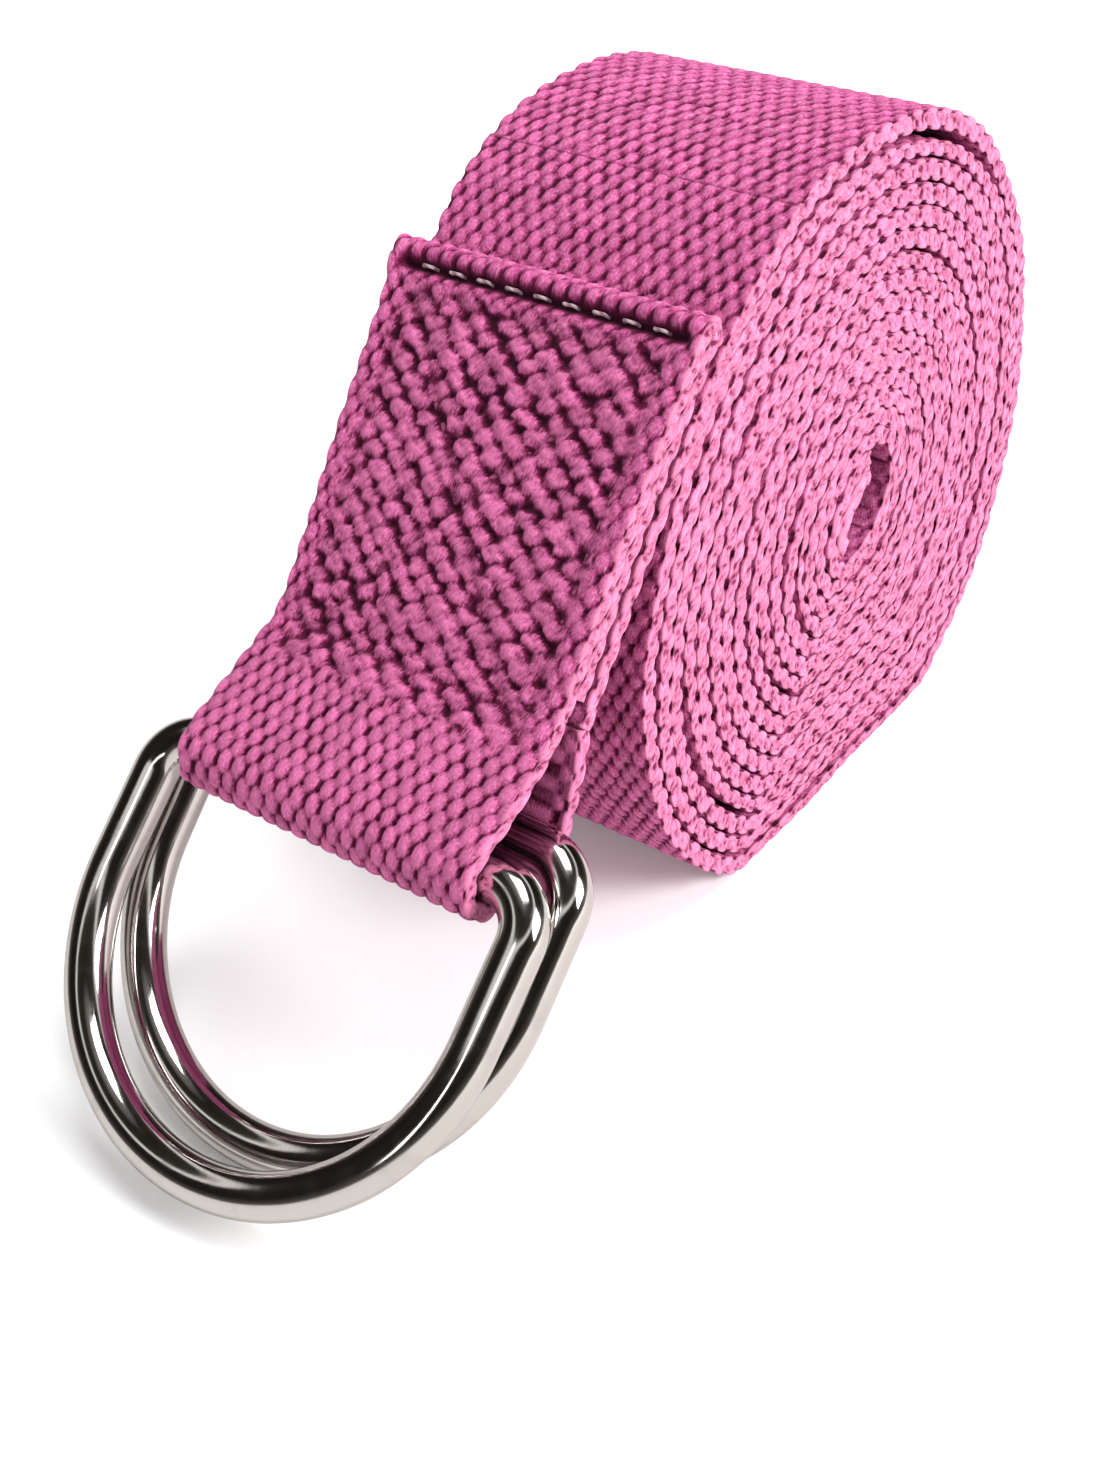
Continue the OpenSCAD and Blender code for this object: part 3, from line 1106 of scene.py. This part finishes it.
@dataclass(frozen=True)
class Seam:
    """A straight row of stitches on the sewn end, from one place to another in x and across."""

    start: tuple[float, float]
    end: tuple[float, float]
    height: float
    pitch: float = 3.6
    shown: float = 2.2
    radius: float = 0.32
    buried: float = 0.9
    ring: int = 8

    def line(self, frame_of_end: EndFrame) -> Array:
        """Follow the thread, which shows for one part of each pitch and runs below for the rest.

        Its height is a flat-topped wave: a cosine of the pitch, steepened and held between two levels.

        Args:
            frame_of_end: The frame that the places are in.

        Returns:
            Points in space.
        """
        start, end = np.array(self.start), np.array(self.end)
        run = float(np.linalg.norm(end - start))
        count = max(1, round(run / self.pitch))
        s = np.linspace(0.0, count, count * 18 + 1)
        level = np.cos(2 * np.pi * (s - 0.5)) - math.cos(np.pi * self.shown / self.pitch)
        drop = self.buried * (1.0 - np.clip(0.5 + level * 1.6, 0.0, 1.0))
        place = start + (end - start) * (s / count)[:, None]
        xz = frame_of_end.world(np.stack([place[:, 0], self.height - drop], axis=1))
        return np.stack([xz[:, 0], place[:, 1], xz[:, 1]], axis=1)

    def build(self, name: str, frame_of_end: EndFrame) -> bpy.types.Object:
        """Build the row's thread, and return it."""
        line = self.line(frame_of_end)
        return Thread(line, frame_of_end.outward(), self.radius, self.ring).skin().build(name)


@dataclass(frozen=True)
class Panel:
    """The sewn patch of the front face, from the hem's seam to the rings' seam."""

    fold_x: float = -6.0
    seam_x: float = -5.3
    first_x: float = -2.6
    last_x: float = 34.5
    half_w: float = 15.0
    knobs: Crinkle = Crinkle()
    seam_depth: float = 1.0
    line_depth: float = 0.2
    line_half: float = 0.55
    knob_depth: float = 0.25
    knob_share: float = 0.92
    seam_half: float = 0.7

    def groove(self, away: Array, half: float) -> Array:
        """Return 1 on a stitched line and 0 away from it, as a bell of that half width."""
        return np.exp(-((away / half) ** 2))

    def shape(self, x: Array, across: Array, look: Look) -> Look:
        """Give the patch its knobbly face, and sink its stitched lines.

        Args:
            x: Distance along the sewn end.
            across: Distance from its middle.
            look: What shows on plain webbing.

        Returns:
            What shows with the patch.
        """
        past = smooth_step(x, self.last_x, self.last_x + 3.0)
        inside = smooth_step(x, self.first_x - 1.6, self.first_x) * (1.0 - past)
        inside = inside * (1.0 - smooth_step(np.abs(across), 15.6, 17.4))
        knob, number = self.knobs.knobs(across, x)
        relief = look.relief + (1.0 - self.knob_share * (1.0 - knob) - look.relief) * inside
        tone = np.where(inside > 0.5, number, look.tone)
        seam = self.groove(x - self.seam_x - 0.1, self.seam_half)
        seam = seam * (1.0 - smooth_step(np.abs(across), 16.6, 18.0))
        middle = (self.first_x + self.last_x) / 2
        slope = self.half_w / ((self.last_x - self.first_x) / 2)
        lines = np.zeros(x.shape)
        in_box = smooth_step(x, self.first_x - 0.5, self.first_x + 1.0)
        in_box = in_box * (1.0 - smooth_step(x, self.last_x - 1.0, self.last_x + 0.5))
        for lean in (slope, -slope):
            away = (across - lean * (x - middle)) / math.hypot(1.0, lean)
            lines = np.maximum(lines, self.groove(away, self.line_half) * in_box)
        sides = self.groove(np.abs(across) - self.half_w - 0.4, self.line_half)
        lines = np.maximum(lines, sides * in_box * 0.9)
        within = 1.0 - smooth_step(np.abs(across), 15.4, 16.4)
        for place in (self.first_x + 0.4, self.last_x - 2.2):
            lines = np.maximum(lines, self.groove(x - place, self.line_half) * within * 0.8)
        swell = 0.16 * np.sin(across * 0.9 + 1.0) * np.sin(x * 0.7) * inside
        lift = -self.seam_depth * seam - self.line_depth * lines + swell
        lift = lift - self.knob_depth * (1.0 - relief) * inside
        # Lower relief on the seam and the stitched lines also gives them the dark gap colour in the material:
        # painted shade in the grooves, on top of their real sinking.
        relief = np.clip(relief * (1.0 - 0.95 * seam) * (1.0 - 0.22 * lines), 0.0, 1.0)
        # Share of the paler tint: the whole patch and most of the loop beyond it, partly felted cotton and
        # partly a painted highlight on yarn tops.
        worn = inside + 0.8 * past
        return Look(relief, tone, lift, np.clip(worn, 0.0, 1.0))


@dataclass
class SewnEnd:
    """The strap's end, folded round the bars of both rings, turned under and sewn down.

    near_side and far_side are places along the end, each with the half width of that side there.
    """

    finishes: Finishes
    roll: "Roll"
    place: EndFrame = EndFrame()
    back_y: float = 41.705
    layer: float = 2.2
    length: float = 31.3
    outer_bar: tuple[float, float] = (46.9, 45.5)
    inner_bar: tuple[float, float] = (43.4, 39.9)
    wrap_r: float = 3.6
    bridge_end: float = 1.0
    bend: tuple[float, float] = (-3.5, 7.0)
    fold_stretch: float = 1.3
    under_end: float = 29.0
    half_w: float = 19.0
    half_t: float = 1.05
    near_side: tuple[tuple[float, float], ...] = (
        (-8.0, 18.7), (15.0, 18.8), (35.0, 19.6), (41.0, 19.1), (46.0, 18.3)
    )
    far_side: tuple[tuple[float, float], ...] = (
        (-8.0, 19.1), (-5.5, 18.7), (-2.0, 17.8), (12.0, 17.1), (28.0, 15.8), (33.0, 15.9), (41.0, 17.7),
        (46.0, 18.9),
    )
    panel: Panel = Panel()

    def section(self, outer_steps: int) -> Section:
        """Return the webbing's outline, with that many steps across its outer face."""
        return Section(self.half_w, self.half_t, outer_steps=outer_steps, inner_steps=2, arc_steps=11,
                       border=1.3)

    def width(self, x: Array) -> tuple[Array, Array]:
        """Share of the half width on each side: the sewing draws the webbing in before the rings."""
        near, far = (np.interp(x, *zip(*side)) / self.half_w for side in (self.near_side, self.far_side))
        return near, far

    def front_line(self) -> tuple[Route, float]:
        """Follow the turned-under layer, the fold and the front layer up to the rings' seam.

        Returns:
            The route, and the distance along it at which the front layer would pass x = 0.
        """
        under, front = self.back_y + self.layer, self.back_y + 2 * self.layer
        fold = (self.panel.fold_x, (under + front) / 2)
        line = np.concatenate(
            [
                straight((self.under_end, under), (self.panel.fold_x, under)),
                arc(fold, self.layer / 2, -90.0, -270.0)[1:],
                straight((self.panel.fold_x, front), (self.length, front))[1:],
            ]
        )
        before = self.under_end - self.panel.fold_x + math.pi * self.layer / 2
        return Route(self.place.world(line)), before - self.panel.fold_x

    def loop_line(self) -> Route:
        """Follow the webbing round the outer and the inner bar, from front to back, and return it."""
        front, back = (self.length, self.back_y + 2 * self.layer), (self.length, self.back_y)
        bars = np.array(self.outer_bar), np.array(self.inner_bar)
        gap = bars[0] - bars[1]
        out = math.degrees(math.atan2(gap[1], gap[0])) - 90.0
        on = touch_angle(front, bars[0], self.wrap_r, -1.0)
        off = touch_angle(back, bars[1], self.wrap_r, 1.0)
        off = off - 360.0 if off > 0 else off
        first, second = arc(bars[0], self.wrap_r, on, out), arc(bars[1], self.wrap_r, out, off)
        line = np.concatenate(
            [straight(front, first[0])[:-1], first, straight(first[-1], second[0])[1:-1], second,
             straight(second[-1], back)[1:]]
        )
        return Route(self.place.world(line)).eased(0.5)

    def shaping(self, zero: float) -> Shaping:
        """Return what puts the patch on webbing that passes x = 0 at that distance along it."""
        return lambda across, along, look: self.panel.shape(along - zero, across, look)

    def front(self) -> bpy.types.Object:
        """Build the front layer with the hem and the layer under it, and return it."""
        route, zero = self.front_line()
        webbing = Webbing(route, self.section(152), spacing=0.26, depth=0.62)
        x = webbing.stations() - zero
        fold_start = self.panel.fold_x - math.pi * self.layer / 2
        round_fold = smooth_step(x, fold_start, self.panel.fold_x)
        woven = webbing.stations() + self.fold_stretch * round_fold - 0.4
        under = x < fold_start
        low, high = self.width(np.where(under, self.under_end - webbing.stations(), x))
        low, high = np.where(under, low - 0.015, low), np.where(under, high - 0.015, high)
        skin = webbing.skin(width=(low, high), shaping=self.shaping(zero), woven=woven)
        return cloth(skin.build("front_layer_with_hem"), route.length())

    def loop(self) -> bpy.types.Object:
        """Build the webbing round the bars, and return it."""
        route, zero = self.front_line()
        loop = self.loop_line()
        webbing = Webbing(loop, self.section(152), spacing=0.26, depth=0.66, first_along=route.length())
        woven = webbing.stations() + route.length() + 0.9
        x = self.length + np.minimum(webbing.stations(), loop.length() - webbing.stations())
        skin = webbing.skin(width=self.width(x), shaping=self.shaping(zero), woven=woven)
        return cloth(skin.build("ring_loop_webbing"), loop.length())

    def back(self) -> bpy.types.Object:
        """Build the layer that faces the roll, and return it."""
        line = straight((self.length, self.back_y), (self.bridge_end, self.back_y))
        webbing = Webbing(Route(self.place.world(line)), self.section(117), first_along=7.0)
        low, high = self.width(self.length - webbing.stations())
        piece = webbing.skin(width=(low, high)).build("back_layer_webbing")
        return cloth(piece, webbing.route.length())

    def bridge(self) -> bpy.types.Object:
        """Build the stretch between the roll and the sewn end, and return it."""
        winding = self.roll.winding
        start = self.roll.bridge_start()
        wound = np.arange(start, winding.wound, 0.1)
        split = self.place.local(winding.line(np.array([winding.wound])))[0]
        first = math.degrees(math.atan2(split[1], split[0]))
        curve = arc((0.0, 0.0), self.back_y, first, 90.0)
        flat = straight((0.0, self.back_y), (self.bridge_end, self.back_y))
        line = np.concatenate([winding.line(wound), self.place.world(curve), self.place.world(flat)[1:]])
        section = Section(self.half_w, self.roll.half_t, self.roll.edge, outer_steps=116, inner_steps=2,
                          border=1.3, border_steps=2)
        before = Route(winding.line(np.arange(0.0, start, 0.25))).length()
        webbing = Webbing(Route(line).eased(1.5), section, first_along=before)
        along = webbing.stations()
        share = smooth_step(along, 4.0, along[-1] - 2.0)
        low, high = self.width(np.full(along.shape, self.bridge_end))
        roll_low, roll_high = self.roll.near_w / self.half_w, self.roll.far_w / self.half_w
        width = (roll_low + (low - roll_low) * share, roll_high + (high - roll_high) * share)
        sway = self.roll.sway * ripple(along + before, (61.0, 137.0, 23.0), 1.0) * (1.0 - share)
        piece = webbing.skin(width=width, sway=sway).build("bending_stretch")
        hinge, out = Route(line).at(np.array([self.roll.bridge_back]))
        way = np.array([-out[0, 1], out[0, 0]])
        ends = [(hinge[0] + way * reach) * MM for reach in self.bend]
        start, end = ((place[0], 0.0, place[1]) for place in ends)
        cloth(piece, webbing.route.length())
        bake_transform(piece)
        return piece

    def seams(self) -> list[bpy.types.Object]:
        """Build the thread of every row of stitches, and return the pieces."""
        top = self.back_y + 2.5 * self.layer
        x0, x1, w = self.panel.first_x + 0.4, self.panel.last_x - 2.2, self.panel.half_w + 0.4
        hem_x, hem_w = self.panel.seam_x, 15.5
        pale, pink = self.finishes.pale_thread, self.finishes.pink_thread
        hem = [Seam((hem_x, -hem_w), (hem_x, hem_w), top - 0.9, 3.5, shown=1.7, radius=0.19, buried=1.7)]
        sides = [Seam((x0, side), (x1, side), top - 1.0) for side in (-w, w)]
        cross = [Seam((x0, -side), (x1, side), top - 1.05) for side in (w, -w)]
        rows = {
            "hem_thread": (pale, "hem_stitches", hem),
            "side_thread": (pink, "side_stitches", sides),
            "ring_row_thread": (pink, "ring_row_stitches", [Seam((x1, -w), (x1, w), top - 1.0)]),
            "cross_thread": (pink, "cross_stitches", cross),
        }
        pieces = []
        for name, (material, node, seams) in rows.items():
            for k, seam in enumerate(seams):
                label = name if len(seams) == 1 else f"{name}_{k + 1}"
                piece = seam.build(label, self.place)
                dress(piece, material, "sewn_end", (node,) if k == 0 else ())
                pieces.append(piece)
        return pieces

    def build(self) -> list[bpy.types.Object]:
        """Build every piece of the sewn end, and return them."""
        cotton = self.finishes.cotton
        front = dress(self.front(), cotton, "sewn_end",
                      ("end_turned_under_layer", "end_front_layer", "hem_fold"))
        loop = dress(self.loop(), cotton, "sewn_end", ("ring_loop",))
        back = dress(self.back(), cotton, "sewn_end", ("end_back_layer",))
        bridge = dress(self.bridge(), cotton, None, ())
        return [front, loop, back, bridge, *self.seams()]


@dataclass
class DRing:
    """One D-ring of round wire, with its straight bar inside the webbing's loop."""

    finishes: Finishes
    name: str
    body: str
    node: str
    bar: tuple[float, float]
    tilt: float
    wire_r: float = 2.4
    half_w: float = 23.4
    corner: float = 4.8
    bow_start: float = 14.6

    def outline(self) -> Array:
        """Follow the wire's middle line once round from the bar's middle: across, and away from the bar."""
        inset = self.half_w - self.corner
        half = np.concatenate(
            [
                straight((0.0, 0.0), (inset, 0.0), 0.5)[:-1],
                arc((inset, self.corner), self.corner, -90.0, 0.0, 0.4)[:-1],
                straight((self.half_w, self.corner), (self.half_w, self.bow_start), 0.5)[:-1],
                arc((0.0, self.bow_start), self.half_w, 0.0, 90.0, 0.5),
            ]
        )
        other = half[1:-1][::-1] * np.array([-1.0, 1.0])
        return np.concatenate([half, other])

    def build(self, place: EndFrame) -> bpy.types.Object:
        """Build the ring.

        Args:
            place: The sewn end's frame.

        Returns:
            The piece.
        """
        outline = self.outline()
        lean = math.radians(self.tilt)
        away = outline[:, 1:2] * np.array([[math.cos(lean), math.sin(lean)]])
        xz = place.world(np.array(self.bar) + away)
        line = np.stack([xz[:, 0], outline[:, 0], xz[:, 1]], axis=1)
        normal = place.world(np.array([[-math.sin(lean), math.cos(lean)], [0.0, 0.0]]))
        normal = normal[0] - normal[1]
        up = np.array([normal[0], 0.0, normal[1]])
        piece = Thread(line, up, self.wire_r, 48, looped=True).skin().build(self.name)
        return dress(piece, self.finishes.nickel, self.body, (self.node,))


class Stage:
    """The camera, the lights and the floor."""

    EYE = (-0.1643, -0.1042, 0.146)
    RIGHT = (0.5964, -0.8016, -0.0419)
    UP = (0.5043, 0.3336, 0.7965)
    AHEAD = (0.6246, 0.4961, -0.6032)
    LENS = 46.69
    MIDDLE = (-0.02, 0.0, 0.035)

    def camera(self) -> None:
        """Set up the camera at its place, looking down along the strap."""
        data = bpy.data.cameras.new("camera")
        data.lens, data.sensor_width, data.clip_start = self.LENS, 36.0, 0.01
        camera = bpy.data.objects.new("camera", data)
        back = tuple(-x for x in self.AHEAD)
        rows = [(self.RIGHT[k], self.UP[k], back[k], self.EYE[k]) for k in range(3)]
        camera.matrix_world = Matrix((*rows, (0.0, 0.0, 0.0, 1.0)))
        bpy.context.scene.collection.objects.link(camera)
        bpy.context.scene.camera = camera

    def light(self, name: str, at: tuple[float, ...], size: tuple[float, float], power: float) -> None:
        """Add a soft rectangular light that looks at the object.

        Args:
            name: The light's name.
            at: Its place, in metres.
            size: Its width and height, in metres.
            power: Its power, in watts.
        """
        data = bpy.data.lights.new(name, "AREA")
        data.shape, data.size, data.size_y, data.energy = "RECTANGLE", size[0], size[1], power
        lamp = bpy.data.objects.new(name, data)
        lamp.location = at
        towards = Vector(self.MIDDLE) - Vector(at)
        lamp.rotation_euler = towards.to_track_quat("-Z", "Y").to_euler()
        lamp.visible_camera = False
        bpy.context.scene.collection.objects.link(lamp)

    def lights(self) -> None:
        """Add the lights."""
        self.light("key_light", (0.2, -0.85, 0.5), (0.5, 0.4), 13.0)
        self.light("top_light", (0.1, -0.1, 0.9), (0.4, 0.4), 4.6)
        self.light("left_light", (-0.85, -0.1, 0.5), (0.12, 0.5), 0.7)

    def floor(self) -> None:
        """Add the plain floor."""
        size = 6.0
        mesh = bpy.data.meshes.new("floor")
        corners = [(-size, -size, 0.0), (size, -size, 0.0), (size, size, 0.0), (-size, size, 0.0)]
        mesh.from_pydata(corners, [], [(0, 1, 2, 3)])
        floor = bpy.data.objects.new("floor", mesh)
        material, wires, shader = new_material("floor")
        ray = wires.add("ShaderNodeLightPath")
        # To glossy rays the floor shows a dimmer grey than to the camera: a painted reflection on the rings.
        mirrored, white, dimmed = ray.outputs["Is Glossy Ray"], (0.9, 0.9, 0.9, 1.0), (0.7, 0.68, 0.66, 1.0)
        wires.settle(shader, {
            "Base Color": wires.blend(mirrored, white, dimmed),
            "Roughness": 0.9,
            "Specular IOR Level": 0.2,
            "Emission Color": (1.0, 1.0, 1.0, 1.0),
            "Emission Strength": wires.math("MULTIPLY", ray.outputs["Is Camera Ray"], 0.13),
        })
        mesh.materials.append(material)
        bpy.context.scene.collection.objects.link(floor)

    def sky(self) -> None:
        """Add the surroundings: pale for the eye, and dark with pale strips where a mirror looks."""
        world = bpy.data.worlds.new("surroundings")
        world.use_nodes = True
        wires = Wiring(world.node_tree)
        pale = world.node_tree.nodes["Background"]
        pale.inputs["Color"].default_value = (1.0, 1.0, 1.0, 1.0)
        pale.inputs["Strength"].default_value = 0.5
        apart = wires.add("ShaderNodeSeparateXYZ")
        wires.feed(apart.inputs["Vector"], wires.add("ShaderNodeTexCoord").outputs["Generated"])
        bands = wires.ramp(apart.outputs["Z"], (
            (0.0, (0.3, 0.28, 0.27)), (0.1, (0.08, 0.07, 0.062)), (0.34, (0.014, 0.011, 0.009)),
            (0.62, (0.02, 0.016, 0.013)), (0.665, (1.0, 0.98, 0.96)), (0.7, (1.0, 0.98, 0.96)),
            (0.75, (0.04, 0.034, 0.028)), (0.92, (0.02, 0.016, 0.012)), (1.0, (0.3, 0.29, 0.28)),
        ))
        strip = wires.add("ShaderNodeBackground")
        wires.feed(strip.inputs["Color"], bands)
        mix = wires.add("ShaderNodeMixShader")
        wires.feed(mix.inputs["Fac"], wires.add("ShaderNodeLightPath").outputs["Is Glossy Ray"])
        wires.feed(mix.inputs[1], pale.outputs["Background"])
        wires.feed(mix.inputs[2], strip.outputs["Background"])
        wires.feed(world.node_tree.nodes["World Output"].inputs["Surface"], mix.outputs["Shader"])
        bpy.context.scene.world = world
        bpy.context.scene.view_settings.view_transform = "Standard"

    def build(self) -> None:
        """Build the stage."""
        self.camera()
        self.lights()
        self.floor()
        self.sky()


def main() -> None:
    """Build every piece of the strap and its stage."""
    logging.basicConfig(level=logging.INFO, format="%(name)s: %(message)s")
    Stage().build()
    finishes = Finishes.make()
    roll = Roll(finishes)
    end = SewnEnd(finishes, roll)
    roll.build()
    end.build()
    for which, bar, tilt in (("outer", end.outer_bar, 6.1), ("inner", end.inner_bar, 3.8)):
        DRing(finishes, f"{which}_ring_wire", f"{which}_ring", f"{which}_d_ring", bar, tilt).build(end.place)


if __name__ == "__main__":
    main()
